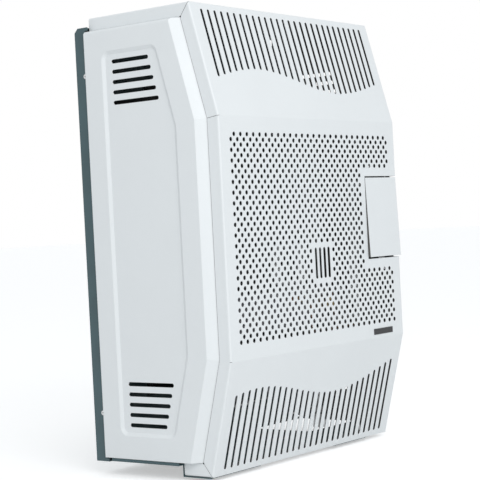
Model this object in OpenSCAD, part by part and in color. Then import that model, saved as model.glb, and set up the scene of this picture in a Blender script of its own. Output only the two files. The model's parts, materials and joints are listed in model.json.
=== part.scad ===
// Wall mounted gas heater with a balanced flue.
// The origin is the middle of the casing on the wall plane: X to the right, -Y into the room, Z up.

/* [Casing] */
// Width of the folded front cover
cover_w = 430; // [420:1:460]
// Height of the front cover
cover_h = 632; // [616:1:660]
// Distance from the wall to the middle facet
case_depth = 243; // [240:1:255]
// Height of the upright middle facet
mid_h = 324; // [320:1:332]
// Slope of the upper and lower facets, in degrees
slope = 15; // [13:0.5:16]
// Depth of the cover's folded return
return_d = 19; // [17:0.5:21]
// Outside radius of the cover's side bends
bend_r = 2.5; // [2:0.1:3]
// Thickness of the casing sheet
sheet = 1; // [0.8:0.1:1.2]
// Gap between the wall and the top plate's back edge
top_gap = 21; // [16:0.5:24]
// Depth of the bottom plate behind the lower facet
bottom_lip = 48; // [40:1:56]
// Height of the flue above the middle of the casing
flue_rise = 110; // [104:1:116]
// Width of the hairline seam at a mitred corner
slit_w = 0.5; // [0.3:0.1:0.8]
// Radius of the relief hole at the end of a mitre
relief_r = 1.4; // [1:0.1:2]

/* [Perforation] */
// Centre distance of neighbouring holes, on a square grid turned by 45 degrees
hole_pitch = 10; // [9.9:0.05:10.1]
// Diameter of a hole
hole_d = 6; // [5:0.1:6.5]
// Number of rows
hole_rows = 40; // [36:2:40]
// Half columns on either side of the middle
half_cols = 27; // [25:2:27]
// Plain border around the control flap
flap_margin = 14; // [12:0.5:16]
// Plain border around the sight slots
sight_margin = 7; // [6:0.5:8]

/* [Grille slots] */
// Number of slots in each sloped facet
slot_count = 28; // [26:2:28]
// Width of a slot
slot_w = 5; // [4:0.1:6]
// Distance of the slots from the facet's outer edge
slot_edge = 8.5; // [7:0.5:11]
// Mean reach of the upper slots from the facet's outer edge
upper_reach = 104; // [96:1:110]
// Height of the wave along the upper slots' ends
upper_wave = 14.2; // [8:0.2:18]
// Where the upper wave starts, from the middle
upper_wave_x = -7; // [-40:1:40]
// Length of the upper wave
upper_wave_len = 363; // [300:1:460]
// Mean distance of the lower slots from the bend
lower_start = 55; // [48:1:64]
// Height of the wave along the lower slots' ends
lower_wave = 18; // [8:0.2:20]
// Where the lower wave starts, from the middle
lower_wave_x = -48; // [-80:1:0]
// Length of the lower wave
lower_wave_len = 412; // [340:1:460]
// Fall of the lower wave's middle line from left to right
lower_fall = 0.041; // [0:0.001:0.06]

/* [Sight slots] */
// Number of sight slots
sight_count = 4; // [3:1:4]
// Width of a sight slot
sight_w = 5.5; // [4:0.5:6]
// Height of a sight slot
sight_h = 44; // [36:1:48]
// Centre distance of the sight slots
sight_pitch = 10.5; // [9.5:0.5:11]

/* [Side panels] */
// Width of the 45 degree front bevel, seen from the front
bevel = 11.5; // [9:0.5:13]
// Open seam between the cover's return and the panel
seam = 1.2; // [1.1:0.1:1.6]
// Length of the flange lapped under the cover's return
lap = 9; // [7:0.5:11]
// Gap between the wall and the panel's back edge
panel_gap = 20; // [18:0.5:24]
// Outside radius of the panel's top bend
panel_r = 5; // [4:0.5:7]
// Clearance between the panel's top and the cover's return
panel_clear = 0.3; // [0.2:0.1:0.6]
// Plain border around the pressed field
field_border = 34; // [30:1:38]
// Depth of the pressed field
field_depth = 3; // [2:0.5:4]
// Corner radius of the pressed field
field_r = 10; // [8:0.5:12]
// Width of the slope round the pressed field
field_draft = 5; // [3:0.5:6]
// Number of slots at each end of the field
side_slots = 5; // [4:1:6]
// Height of a side slot
side_slot_h = 5.5; // [4.5:0.1:6.5]
// Height of the outermost side slots above and below the middle
side_slot_z = 250; // [244:1:253]
// Distance of the side slots from the field's back edge
slot_back = 14; // [11:1:18]
// Distance of the side slots from the field's sloped front edge
slot_front = 17; // [13:1:21]

/* [Control flap] */
// Width of the flap, up to the cover's right edge
flap_w = 87; // [84:1:90]
// Height of the flap
flap_h = 119; // [116:1:122]
// Height of the flap's middle above the casing's middle
flap_z = 18.5; // [17:0.5:20]
// How far the closed flap's lower edge stands proud
flap_proud = 3.5; // [2:0.5:4]
// Gap above the flap
flap_gap = 2; // [2:0.1:2.5]
// Gap below the flap, for a finger
finger_gap = 2.5; // [2:0.1:3.5]
// Gap beside the flap
side_gap = 0.8; // [0.6:0.1:1.2]
// Depth of the flap's right return
flap_return = 10; // [9:0.5:11]
// Depth of the flap's left flange
flap_flange = 8; // [6:0.5:9]
// Depth of the flap's bottom flange
flap_foot = 6; // [5:0.5:7]
// Distance of the hinge axis from the flap's face and its top edge
hinge_in = 4; // [4:0.1:4.5]
// Radius of the hinge pin
hinge_pin_r = 1.5; // [1.3:0.1:1.6]
// Outside radius of the flap's knuckles
knuckle_r = 3; // [2.8:0.1:3]
// Length of a knuckle
knuckle_l = 12; // [8:1:16]
// Thickness of a hinge arm
arm_t = 2.5; // [2:0.5:3]
// Outside radius of a hinge arm's eye
eye_r = 2.6; // [2.5:0.05:2.7]
// Width of the flap's stop
stop_w = 16; // [12:1:20]

/* [Badge plate] */
// Width of the bare badge plate
badge_w = 51; // [44:1:58]
// Height of the badge plate
badge_h = 8.5; // [7:0.5:10]
// Thickness of the badge plate
badge_t = 0.8; // [0.5:0.1:1.2]
// Distance of its right edge from the cover's right edge
badge_edge = 32; // [28:1:36]
// Height of its middle above the lower bend
badge_rise = 9; // [7:0.5:12]

/* [Rear frame] */
// Thickness of the frame and of the inner brackets
frame_t = 1.5; // [1.2:0.1:2]
// Depth of the frame's side flanges
frame_d = 30; // [27:1:33]
// How much shorter the frame is than the cover
frame_short = 26; // [22:1:30]
// Gap between the frame's flange and the side panel's skin
frame_gap = 2.5; // [2:0.1:3]
// Cut across the frame's upper back corners
frame_cut = 6; // [4:0.5:8]
// Width across the four wall holes
wall_hole_w = 360; // [350:2:370]
// Height across the four wall holes
wall_hole_h = 500; // [490:2:504]
// Radius of a wall hole
wall_hole_r = 4; // [3.5:0.5:5]
// Height of the frame's rivets above and below the middle
rivet_z = 235; // [225:1:240]
// Distance of the rivets from the wall
rivet_y = 17.5; // [16:0.5:19]
// Radius of a rivet's shank
rivet_r = 1.6; // [1.5:0.1:2]
// Radius of a rivet's head
rivet_head_r = 3.3; // [3:0.1:3.8]
// Width of a bracket that carries a side panel
bracket_w = 25; // [20:1:30]
// Width of a hook that carries the cover
hook_w = 190; // [180:2:196]
// Distance of the hooks' middles from the casing's middle
hook_x = 108; // [106:1:110]
// Radius of a small screw
screw_r = 2; // [1.5:0.1:2.2]
// Clearance between a screw or rivet and its hole
screw_fit = 0.1; // [0.05:0.05:0.2]

/* [Bottom pan] */
// Distance of the cover's screws from the middle
cover_screw_x = 130; // [120:1:140]
// Width of the pan's left tab under the cover
left_tab_w = 110; // [90:1:120]
// Where the right tab starts, from the middle
right_tab_x = 75; // [60:1:90]
// Width of the right tab
right_tab_w = 86; // [84:1:100]
// Width of the opening for the gas connection
port_w = 125; // [100:1:140]
// Distance from the wall plane to that opening's front edge
port_y = 148; // [130:1:150]

/* [Heat exchanger] */
// Width of the exchanger
chamber_w = 280; // [270:2:286]
// Height of the exchanger
chamber_h = 365; // [355:1:372]
// Depth of the exchanger
chamber_d = 100; // [96:1:102]
// Distance from the wall to its back face
chamber_gap = 78; // [76:1:82]
// Height of its bottom above the casing's middle
chamber_z = -140; // [-142:1:-138]
// Width of its seam flange
chamber_rim = 12; // [9:1:12]
// Thickness of its sheet
chamber_t = 1.5; // [1.2:0.1:2]
// Number of pressed ribs
rib_count = 5; // [3:1:6]
// Height of the ribs
rib_h = 180; // [140:5:190]
// Radius of a rib
rib_r = 8; // [6:0.5:9]
// Radius of the bolts through its seam flange
bolt_r = 2.5; // [2:0.1:2.5]
// Radius of their hexagons, across the corners
bolt_hex_r = 4.6; // [4.3:0.1:4.8]
// Width of the sight window's opening
window_w = 38; // [34:1:42]
// Height of the sight window's opening
window_h = 46; // [42:1:48]
// Width of the glass's seat and of the frame's rim
window_rim = 6; // [5:0.5:7]
// Thickness of the window glass
glass_t = 3; // [2:0.5:4]
// Thickness of a gasket
gasket_t = 1; // [0.8:0.1:1.5]
// Length of the baffle plate's slope
baffle_l = 110; // [90:5:120]
// Distance of the heat shield from the control flap's left edge
shield_gap = 3; // [2:0.5:4]

/* [Burner] */
// Radius of the burner tube
burner_r = 16; // [14:0.5:17]
// Length of the burner tube
burner_l = 200; // [180:5:205]
// Height of the burner's axis above the exchanger's bottom
burner_rise = 36; // [34:1:37]
// Number of flame slots
flame_slots = 30; // [20:2:34]
// Width of the burner plate
plate_w = 254; // [248:1:256]
// Height of the burner plate
plate_h = 57; // [55:1:58]
// Width of the plate's seat on the exchanger
plate_seat = 9; // [8:0.5:10]
// Thickness of the burner plate
plate_t = 2; // [1.5:0.5:2.5]
// Radius of the burner's fittings where they pass the plate
gland_r = 3; // [2.5:0.1:3.2]

/* [Flue and air] */
// Outside radius of the inner flue spigot
flue_r = 40; // [38:0.5:42]
// Thickness of the flue spigot
flue_t = 1.5; // [1:0.1:2]
// Depth of the rolled bead between the root of a spigot and the end that takes the pipe
bead_d = 2.6; // [2.5:0.1:3]
// Width of that bead on the outside
bead_w = 3; // [2.5:0.1:4]
// How far the flue spigot stands out behind the wall plane
flue_out = 25; // [20:1:40]
// Outside radius of the outer air spigot
air_r = 65; // [60:0.5:68]
// Thickness of the air spigot
air_t = 1.2; // [1:0.1:1.5]
// How far the air spigot stands out behind the wall plane
air_out = 15; // [10:1:18]
// Width of the air box
box_w = 200; // [190:2:204]
// Depth of the air box
box_d = 50.5; // [48:0.5:52]
// Height of the air box's bottom above the casing's middle
box_bottom = -215; // [-220:1:-212]
// Width of the flange round the air box
box_rim = 10; // [8:0.5:12]
// Width of the intake duct
duct_w = 180; // [170:2:184]

/* [Controls] */
// Radius of the control knob
knob_r = 20; // [18:0.5:21]
// Length of the control knob
knob_l = 17.5; // [16:0.5:19]
// Height of the knob above the casing's middle
knob_z = 38; // [37:0.5:40]
// Travel of the knob when it is pushed
knob_push = 4; // [3:0.5:4]
// Distance from the wall to the fascia's front
fascia_y = 208; // [206:0.5:209]
// Width of the fascia
fascia_w = 76; // [74:0.5:77]
// Radius of the knob's spindle
spindle_r = 3; // [2.5:0.1:3.2]
// Radius of the rotating sleeve
sleeve_r = 7; // [6:0.1:7.5]
// Radial clearance of a running fit
running = 0.06; // [0.03:0.01:0.1]
// Radius of the dial plate
dial_r = 28; // [26:0.5:30]
// Height of the igniter below the casing's middle
igniter_drop = 16; // [15:0.5:17]
// Radius of the igniter's body
igniter_r = 9; // [8:0.1:9.5]
// Radius of the igniter's button
button_r = 6; // [5:0.1:6.5]
// Travel of the igniter's button
button_push = 5; // [4:0.5:5]
// Width of the gas valve
valve_w = 68; // [66:0.5:70]
// Height of the gas valve
valve_h = 66; // [62:1:68]
// Depth of the gas valve
valve_d = 50; // [46:1:52]

/* [Pipes] */
// Radius of the gas inlet pipe
inlet_r = 6; // [5:0.5:6.5]
// Radius of the inlet stub's thread
stub_r = 10.48; // [10.3:0.01:10.6]
// Distance from the wall to the inlet stub
stub_y = 90; // [84:1:96]
// Radius of the burner feed pipe
feed_r = 5; // [4:0.5:5]
// Radius of the pilot pipe
pilot_r = 2; // [1.5:0.5:2]
// Radius of a thin lead or capillary
lead_r = 0.9; // [0.8:0.1:1]
// Radius of the ignition lead
spark_r = 1.5; // [1.2:0.1:1.6]
// Radius of the thermostat bulb
bulb_r = 4; // [3.5:0.5:5]
// Length of the thermostat bulb
bulb_l = 80; // [60:5:90]

/* [Hidden] */
$fn = 48;
step = hole_pitch / sqrt(2);
hw = cover_w / 2;
hh = cover_h / 2;
front_y = -case_depth;
setback = (cover_h - mid_h) / 2 * tan(slope);
// Casing outline as [y, z], from the bottom plate's back edge round to the top plate's
outline = [
  [front_y + setback + bottom_lip, -hh],
  [front_y + setback, -hh],
  [front_y, -mid_h / 2],
  [front_y, mid_h / 2],
  [front_y + setback, hh],
  [-top_gap, hh]
];
lean = [90, slope, 0, -slope, -90];
facet_l = norm(outline[2] - outline[1]);
// Corners whose mitre shows as an open seam, and those with a relief hole
slit_corners = [1, 3, 4];
relief_corners = [1, 4];
sight_x = step;
sight_z = -6 * step;
sight_hw = ((sight_count - 1) * sight_pitch + sight_w) / 2;
panel_hw = hw + bevel;
panel_hh = hh - return_d - panel_clear;
lap_x = hw - sheet;
lap_e = return_d + seam - sheet;
main_e = lap_e + panel_hw - lap_x;
field_e = main_e + field_border;
field_hh = panel_hh - field_border;
flap_x = hw - flap_w;
flap_top = flap_z + flap_h / 2;
flap_bottom = flap_z - flap_h / 2;
flap_tilt = atan(flap_proud / flap_h);
hinge_y = front_y + hinge_in;
hinge_z = flap_top - hinge_in;
cut_depth = flap_return + 2;
arm_x = [flap_x + 8, hw - 12];
frame_hw = panel_hw - sheet - frame_gap;
frame_hh = (cover_h - frame_short) / 2;
shield_x = flap_x - shield_gap;
chamber_right = shield_x - 5 - chamber_rim;
chamber_x = chamber_right - chamber_w / 2;
chamber_back_y = -chamber_gap;
chamber_front_y = -chamber_gap - chamber_d;
chamber_seam_y = -chamber_gap - chamber_d / 2;
chamber_mid_z = chamber_z + chamber_h / 2;
burner_z = chamber_z + burner_rise;
plate_x = chamber_right - 4 - plate_w / 2;
plate_z = burner_z - 4.5;
plate_y = chamber_front_y - gasket_t - plate_t;
elbow_x = chamber_right - 22;
feed_y = plate_y - 9;
ctrl_x = hw - flap_w / 2;
valve_front = -fascia_y + 8;
valve_back = valve_front + valve_d;
valve_bottom = knob_z - valve_h / 2;
nose_y = -fascia_y + frame_t;
igniter_z = -igniter_drop;
feed_x = ctrl_x - 18;
pilot_x = ctrl_x - 27;
pilot_y = valve_back - 28;
couple_y = valve_back - 13;
bulb_x = ctrl_x - 14;
bulb_y = valve_back - 10;
inlet_x = ctrl_x + 24;
inlet_y = valve_back - 22;
knob_back = -fascia_y - 5.5;
sleeve_front = -fascia_y - 3;
duct_z = chamber_z - 66;
lower_bulb_z = 41 - frame_hh;

cover_white = [0.93, 0.94, 0.95];
panel_white = [0.88, 0.9, 0.92];
frame_grey = [0.3, 0.37, 0.39];
zinc = [0.72, 0.73, 0.74];
dark_steel = [0.35, 0.35, 0.36];
brass = [0.78, 0.62, 0.32];
copper = [0.72, 0.45, 0.3];
black = [0.06, 0.06, 0.07];
ceramic = [0.93, 0.92, 0.88];

// ---- Placing and simple solids ----

// A box between two opposite corners
module block(a, b) {
  translate(a) cube(b - a);
}

// Children drawn as [y, z], extruded along X
module along_x(x0, x1) {
  translate([x0, 0, 0]) rotate([90, 0, 90]) linear_extrude(x1 - x0) children();
}

// Children drawn as [x, z], extruded along Y
module along_y(y0, y1) {
  translate([0, y1, 0]) rotate([90, 0, 0]) linear_extrude(y1 - y0) children();
}

module rod_x(x0, x1, r, y, z) {
  translate([x0, y, z]) rotate([0, 90, 0]) cylinder(r = r, h = x1 - x0);
}

module rod_y(y0, y1, r, x, z) {
  translate([x, y0, z]) rotate([-90, 0, 0]) cylinder(r = r, h = y1 - y0);
}

module rod_z(z0, z1, r, x, y) {
  translate([x, y, z0]) cylinder(r = r, h = z1 - z0);
}

module hex_y(y0, y1, r, x, z) {
  translate([x, y0, z]) rotate([-90, 0, 0]) cylinder(r = r, h = y1 - y0, $fn = 6);
}

module hex_z(z0, z1, r, x, y) {
  translate([x, y, z0]) cylinder(r = r, h = z1 - z0, $fn = 6);
}

module mirrored_x() {
  children();
  mirror([1, 0, 0]) children();
}

module on_side(side) {
  mirror([side < 0 ? 1 : 0, 0, 0]) children();
}

module slot_2d(x, z0, z1, w) {
  translate([x, (z0 + z1) / 2]) {
    square([w, z1 - z0 - w], center = true);
    for (end = [-1, 1])
      translate([0, end * (z1 - z0 - w) / 2]) circle(d = w);
  }
}

function unit(v) = v / norm(v);

// A convex polygon with rounded corners, as its straight outline and a disc in each corner
module rounded(points, r) {
  n = len(points);
  ends = [for (i = [0:n - 1]) let (
    a = unit(points[(i + n - 1) % n] - points[i]),
    b = unit(points[(i + 1) % n] - points[i]),
    t = r / tan(acos(a * b) / 2)
  ) each [points[i] + a * t, points[i] + b * t]];
  polygon(ends);
  for (i = [0:n - 1]) {
    a = unit(points[(i + n - 1) % n] - points[i]);
    b = unit(points[(i + 1) % n] - points[i]);
    translate(points[i] + unit(a + b) * r / sin(acos(a * b) / 2)) circle(r = r);
  }
}

// A straight tube between two points
module leg(a, b, r) {
  d = b - a;
  translate(a)
    rotate([0, acos(d[2] / norm(d)), atan2(d[1], d[0])])
      cylinder(r = r, h = norm(d));
}

// A quarter bend at a right-angled corner, from direction u into direction v
module quarter_bend(corner, u, v, r, bend) {
  c = corner + (v - u) * bend;
  w = cross(u, v);
  multmatrix([
    [-v[0], u[0], w[0], c[0]],
    [-v[1], u[1], w[1], c[1]],
    [-v[2], u[2], w[2], c[2]],
    [0, 0, 0, 1]
  ])
    rotate_extrude(angle = 90) translate([bend, 0]) circle(r = r);
}

// A pipe along a path whose corners are right angles
module pipe(path, r, bend) {
  last = len(path) - 1;
  for (i = [0:last - 1]) {
    u = unit(path[i + 1] - path[i]);
    leg(path[i] + u * (i > 0 ? bend : 0), path[i + 1] - u * (i < last - 1 ? bend : 0), r);
  }
  for (i = [1:1:last - 1])
    quarter_bend(path[i], unit(path[i] - path[i - 1]), unit(path[i + 1] - path[i]), r, bend);
}

// A coil spring along Y, as one unbroken six-sided tube
function coil_ring(t, r, y0, l, turns, wire) = let (a = 360 * turns * t)
  [for (k = [0:5]) let (q = r + wire * cos(60 * k))
    [q * cos(a), y0 + l * t + wire * sin(60 * k), q * sin(a)]];

module coil(r, y0, l, turns, wire) {
  rings = 10 * turns;
  points = [for (i = [0:rings]) each coil_ring(i / rings, r, y0, l, turns, wire)];
  sides = [for (i = [0:rings - 1], k = [0:5]) let (
    a = 6 * i + k, b = 6 * i + (k + 1) % 6
  ) each [[a, b, b + 6], [a, b + 6, a + 6]]];
  caps = [for (k = [1:4]) each [[0, k + 1, k], [6 * rings, 6 * rings + k, 6 * rings + k + 1]]];
  polyhedron(points = points, faces = concat(sides, caps), convexity = 10);
}

// ---- Casing outline ----

function run_l(i) = norm(outline[i + 1] - outline[i]);
// Slope of the mitre plane at the start of run i: how far it climbs for each mm of depth
function mitre_angle(i) = i == 0 || i == 5 ? 0 : (lean[i - 1] - lean[i]) / 2;
function mitre(i) = tan(mitre_angle(i));
// The y of a line e behind the casing's face, at height z on the middle or a sloped facet
function sloped_y(e, z) = let (bend_z = mid_h / 2 - e * mitre(3))
  front_y + e + max(0, abs(z) - bend_z) * tan(slope);

module on_run(i) {
  translate([0, outline[i][0], outline[i][1]]) rotate([lean[i], 0, 0]) children();
}

// The space between the mitre planes at the two ends of a run, where m0 and m1 tell how they slope
module between_mitres(i, depth, reach, m0, m1, shy = 0) {
  d = depth + 1;
  along_x(-reach, reach)
    polygon([
      [-1, shy - m0],
      [d, shy + d * m0],
      [d, run_l(i) - shy - d * m1],
      [-1, run_l(i) - shy + m1]
    ]);
}

// ---- Front cover ----

// A corner of the outline moved e inwards, as [y, z]
function corner(i, e) = let (k = min(i, 4), a = lean[k], z = i < 5 ? e * mitre(i) : 0)
  outline[i] + [e * cos(a) - z * sin(a), e * sin(a) + z * cos(a)];

// The right-hand bend, across the run
module bend_section() {
  translate([hw - bend_r, bend_r])
    intersection() {
      difference() {
        circle(r = bend_r);
        circle(r = bend_r - sheet);
      }
      translate([0, -bend_r]) square(bend_r);
    }
}

// The cover's side bends, with a hairline open at every corner where the sheet was notched
module cover_bends() {
  difference() {
    for (i = [0:4])
      on_run(i)
        intersection() {
          linear_extrude(run_l(i)) mirrored_x() bend_section();
          between_mitres(i, return_d, hw + 1, mitre(i), mitre(i + 1), slit_w / 2);
        }
    flap_notch();
  }
}

// The cover's return as [y, z]
module return_shape() {
  difference() {
    polygon(concat(
      [for (i = [0:5]) corner(i, bend_r)],
      [for (i = [0:5]) corner(5 - i, return_d)]
    ));
    for (i = slit_corners)
      translate(outline[i])
        rotate(lean[i] + mitre_angle(i))
          translate([bend_r + 0.5, -slit_w / 2]) square([2 * return_d, slit_w]);
    for (i = relief_corners)
      translate(corner(i, return_d)) circle(r = relief_r);
  }
}

module cover_returns() {
  along_x(-hw, sheet - hw) return_shape();
  along_x(hw - sheet, hw)
    difference() {
      return_shape();
      translate([front_y - 1, flap_bottom - finger_gap])
        square([cut_depth + 1, flap_h + finger_gap + flap_gap]);
    }
}

// What the flap's opening takes out of the cover's right edge
module flap_notch() {
  block(
    [flap_x - side_gap, front_y - 1, flap_bottom - finger_gap],
    [hw + 1, front_y + cut_depth, flap_top + flap_gap]
  );
}

function near_flap(x, z) = x > flap_x - flap_margin
  && z < flap_top + flap_margin && z > flap_bottom - flap_margin;
function near_sight(x, z) = abs(x - sight_x) < sight_hw + sight_margin
  && abs(z - sight_z) < sight_h / 2 + sight_margin;

module perforation() {
  for (row = [0:hole_rows - 1])
    for (col = [-half_cols:half_cols])
      if ((row + col) % 2 == 0) {
        x = col * step;
        z = ((hole_rows - 1) / 2 - row) * step;
        if (!near_flap(x, z) && !near_sight(x, z))
          translate([x, z]) circle(d = hole_d, $fn = 20);
      }
}

// How far the separately cut middle sheet stays from the bends
middle_margin = 10;

function slot_x(k) = (k - (slot_count - 1) / 2) * 2 * step;
function upper_end(x) = upper_reach + upper_wave * sin(360 * (x - upper_wave_x) / upper_wave_len);
function lower_end(x) = lower_start + lower_wave * sin(360 * (x - lower_wave_x) / lower_wave_len)
  - lower_fall * x;

module middle_face() {
  difference() {
    translate([bend_r - hw, middle_margin - mid_h / 2])
      square([cover_w - 2 * bend_r, mid_h - 2 * middle_margin]);
    perforation();
    for (k = [0:sight_count - 1])
      translate([sight_x + (k - (sight_count - 1) / 2) * sight_pitch, sight_z])
        slot_2d(0, -sight_h / 2, sight_h / 2, sight_w);
    translate([flap_x - side_gap, flap_bottom - finger_gap])
      square([flap_w + 1, flap_h + flap_gap + finger_gap]);
  }
}

// The folded sheet between its side bends, with its slots
module folded_sheet() {
  difference() {
    along_x(bend_r - hw, hw - bend_r)
      polygon(concat(
        [for (i = [0:5]) corner(i, 0)],
        [for (i = [0:5]) corner(5 - i, sheet)]
      ));
    block(
      [-hw, front_y - 1, middle_margin - mid_h / 2],
      [hw, front_y + 2 * sheet, mid_h / 2 - middle_margin]
    );
    on_run(3)
      along_y(-1, 2 * sheet)
        for (k = [0:slot_count - 1])
          slot_2d(slot_x(k), facet_l - upper_end(slot_x(k)), facet_l - slot_edge, slot_w);
    on_run(1)
      along_y(-1, 2 * sheet)
        for (k = [0:slot_count - 1])
          slot_2d(slot_x(k), slot_edge, facet_l - lower_end(slot_x(k)), slot_w);
    for (side = [-1, 1])
      rod_z(-hh - 1, 2 * sheet - hh, screw_r + screw_fit, side * cover_screw_x, screw_y);
  }
}

module front_cover() {
  color(cover_white) {
    cover_bends();
    cover_returns();
    folded_sheet();
    along_y(front_y, front_y + sheet) middle_face();
  }
}

// ---- Side panels ----

// Lap flange, bevel and the start of the skin, across the run, on the right
module bevel_section() {
  k = sheet * tan(22.5);
  polygon([
    [panel_hw, main_e],
    [lap_x, lap_e],
    [lap_x, lap_e - lap],
    [lap_x - sheet, lap_e - lap],
    [lap_x - sheet, lap_e + k],
    [panel_hw - sheet, main_e + k],
    [panel_hw - sheet, main_e + 3],
    [panel_hw, main_e + 3]
  ]);
}

// The panel as seen from the front, with its rounded top corner
module panel_shadow() {
  difference() {
    translate([lap_x - 20, -panel_hh]) square([panel_hw - lap_x + 20, 2 * panel_hh]);
    translate([panel_hw - panel_r, panel_hh - panel_r])
      difference() {
        square(panel_r + 1);
        circle(r = panel_r);
      }
  }
}

// The bevel runs straight on past the cover's top and bottom corners, to the panel's own ends
module bevel_runs() {
  intersection() {
    for (i = [1:3])
      on_run(i)
        intersection() {
          linear_extrude(run_l(i)) bevel_section();
          between_mitres(i, main_e + 3, panel_hw + 1, i > 1 ? mitre(i) : 0, i < 3 ? mitre(i + 1) : 0);
        }
    along_y(front_y, 0) panel_shadow();
  }
}

// Everything on the inner side of the bevel on run i
module behind_bevel(i) {
  intersection() {
    children();
    on_run(i)
      translate([0, 0, -hh])
        linear_extrude(2 * hh)
          polygon([[panel_hw, main_e], [lap_x, lap_e], [0, lap_e], [0, cover_h], [panel_hw, cover_h]]);
  }
}

// Outline of the skin or of the field as [y, z]: e behind the casing's face, from z0 up to z1
function skin_points(e, back, z0, z1) = [
  [back, z0],
  [back, z1],
  [sloped_y(e, z1), z1],
  [front_y + e, mid_h / 2 - e * mitre(3)],
  [front_y + e, e * mitre(3) - mid_h / 2],
  [sloped_y(e, z0), z0]
];

module field(inset) {
  h = field_hh - inset;
  rounded(
    skin_points(field_e + inset, -panel_gap - field_border - inset, -h, h),
    field_r - inset
  );
}

module field_slots() {
  for (k = [0:side_slots - 1])
    for (side = [-1, 1]) {
      z = side * (side_slot_z - k * 2 * step);
      y0 = sloped_y(field_e, z) + slot_front;
      y1 = -panel_gap - field_border - slot_back;
      r = side_slot_h / 2;
      translate([y0 + r, z - r]) square([y1 - y0 - 2 * r, side_slot_h]);
      translate([y0 + r, z]) circle(r = r);
      translate([y1 - r, z]) circle(r = r);
    }
}

// What the press takes out of the skin, narrowing towards the field's floor
module pressing() {
  hull() {
    along_x(panel_hw, panel_hw + sheet / 2) field(-field_draft / 2);
    along_x(panel_hw - field_depth, panel_hw - field_depth + 0.01) field(field_draft / 2);
  }
}

module panel_skin() {
  difference() {
    union() {
      along_x(panel_hw - sheet, panel_hw)
        polygon(skin_points(main_e + 2, -panel_gap, -panel_hh, panel_hh - panel_r));
      translate([-sheet, 0, 0]) pressing();
    }
    pressing();
    along_x(panel_hw - field_depth - 2 * sheet, panel_hw) field_slots();
  }
}

// Top bend, the flange under the cover's return and the lap inside it
module panel_top() {
  y0 = sloped_y(lap_e, panel_hh - panel_r);
  behind_bevel(3)
    along_y(y0, -panel_gap) {
      translate([panel_hw - panel_r, panel_hh - panel_r])
        intersection() {
          difference() {
            circle(r = panel_r);
            circle(r = panel_r - sheet);
          }
          square(panel_r);
        }
      translate([lap_x - sheet, panel_hh - sheet])
        square([panel_hw - panel_r - lap_x + sheet, sheet]);
    }
  block([lap_x - sheet, y0 + return_d, panel_hh - sheet], [lap_x, -top_gap, panel_hh + lap]);
}

module side_panel() {
  panel_skin();
  bevel_runs();
  panel_top();
  behind_bevel(1)
    block(
      [lap_x - sheet, sloped_y(lap_e, panel_hh), -panel_hh],
      [panel_hw, -panel_gap, sheet - panel_hh]
    );
}

module side_panel_right() {
  color(panel_white) side_panel();
}

module side_panel_left() {
  color(panel_white) mirror([1, 0, 0]) side_panel();
}

// ---- Control flap ----

module flap_knuckles() {
  for (x = [arm_x[0] + arm_t + 0.4, arm_x[1] - 0.4 - knuckle_l]) {
    rod_x(x, x + knuckle_l, knuckle_r, hinge_y, hinge_z);
    block([x, hinge_y - knuckle_r - 0.5, hinge_z - knuckle_r], [x + knuckle_l, hinge_y, hinge_z]);
  }
}

module control_flap() {
  color(cover_white)
    difference() {
      union() {
        translate([0, front_y, flap_top]) rotate([-flap_tilt, 0, 0]) {
          block([flap_x, 0, -flap_h], [hw - bend_r, sheet, 0]);
          translate([0, 0, -flap_h])
            linear_extrude(flap_h) {
              bend_section();
              translate([hw - sheet, bend_r]) square([sheet, flap_return - bend_r]);
            }
          block([flap_x, 0, -flap_h], [flap_x + sheet, flap_flange, 0]);
          block([flap_x, 0, -flap_h], [hw - sheet, flap_foot, sheet - flap_h]);
        }
        flap_knuckles();
      }
      rod_x(flap_x + 4, hw - 4, hinge_pin_r + running, hinge_y, hinge_z);
    }
}

module flap_hinge_pin() {
  color(zinc)
    difference() {
      rod_x(arm_x[0] - 2, arm_x[1] + arm_t + 2, hinge_pin_r, hinge_y, hinge_z);
      // Grooves that a clip would sit in
      for (x = [arm_x[0] - 1.2, arm_x[1] + arm_t + 0.6])
        difference() {
          rod_x(x, x + 0.6, hinge_pin_r + 1, hinge_y, hinge_z);
          rod_x(x - 1, x + 2, hinge_pin_r - 0.4, hinge_y, hinge_z);
        }
    }
}

// The arm as [y, z] from the hinge axis: eye, neck, riser, top arm and foot on the cover's back
module arm_shape() {
  difference() {
    union() {
      circle(r = eye_r);
      translate([0, -eye_r]) square([14, 2 * eye_r]);
      translate([9, -eye_r]) square([5, 22 + eye_r]);
      translate([sheet - hinge_in, 17]) square([18 - hinge_in, 5]);
    }
    circle(r = hinge_pin_r + running);
  }
}

module flap_hinge_arms() {
  color(zinc)
    for (x = arm_x)
      translate([0, hinge_y, hinge_z]) {
        along_x(x, x + arm_t) arm_shape();
        block([x - 5, sheet - hinge_in, 8], [x + arm_t + 5, 2.2 - hinge_in, 22]);
      }
}

stop_y = front_y + sheet;
stop_z = flap_bottom - finger_gap;

module flap_stop() {
  color(zinc)
    along_x(ctrl_x - stop_w / 2, ctrl_x + stop_w / 2) {
      translate([stop_y, stop_z - 17]) square([sheet, 15]);
      translate([stop_y, stop_z - 3]) square([5, sheet]);
      translate([stop_y + 4, stop_z - 3]) square([sheet, 12]);
    }
}

// The flap's foot rests just off this pad
buffer_y = front_y + sheet + 4;

module flap_buffer() {
  color(black)
    along_x(ctrl_x - stop_w / 2 + 2, ctrl_x + stop_w / 2 - 2) {
      y0 = front_y - flap_proud + flap_foot + 0.5;
      translate([y0 + 0.8, stop_z + 1]) square([buffer_y - y0 - 0.8, 7.5]);
      translate([y0 + 0.8, stop_z + 4.75]) circle(r = 0.8);
    }
}

// ---- Badge plate and cover fixings ----

module badge_plate() {
  color(black)
    translate([hw - badge_edge - badge_w, front_y - badge_t, badge_rise - mid_h / 2 - badge_h / 2])
      cube([badge_w, badge_t, badge_h]);
}

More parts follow.
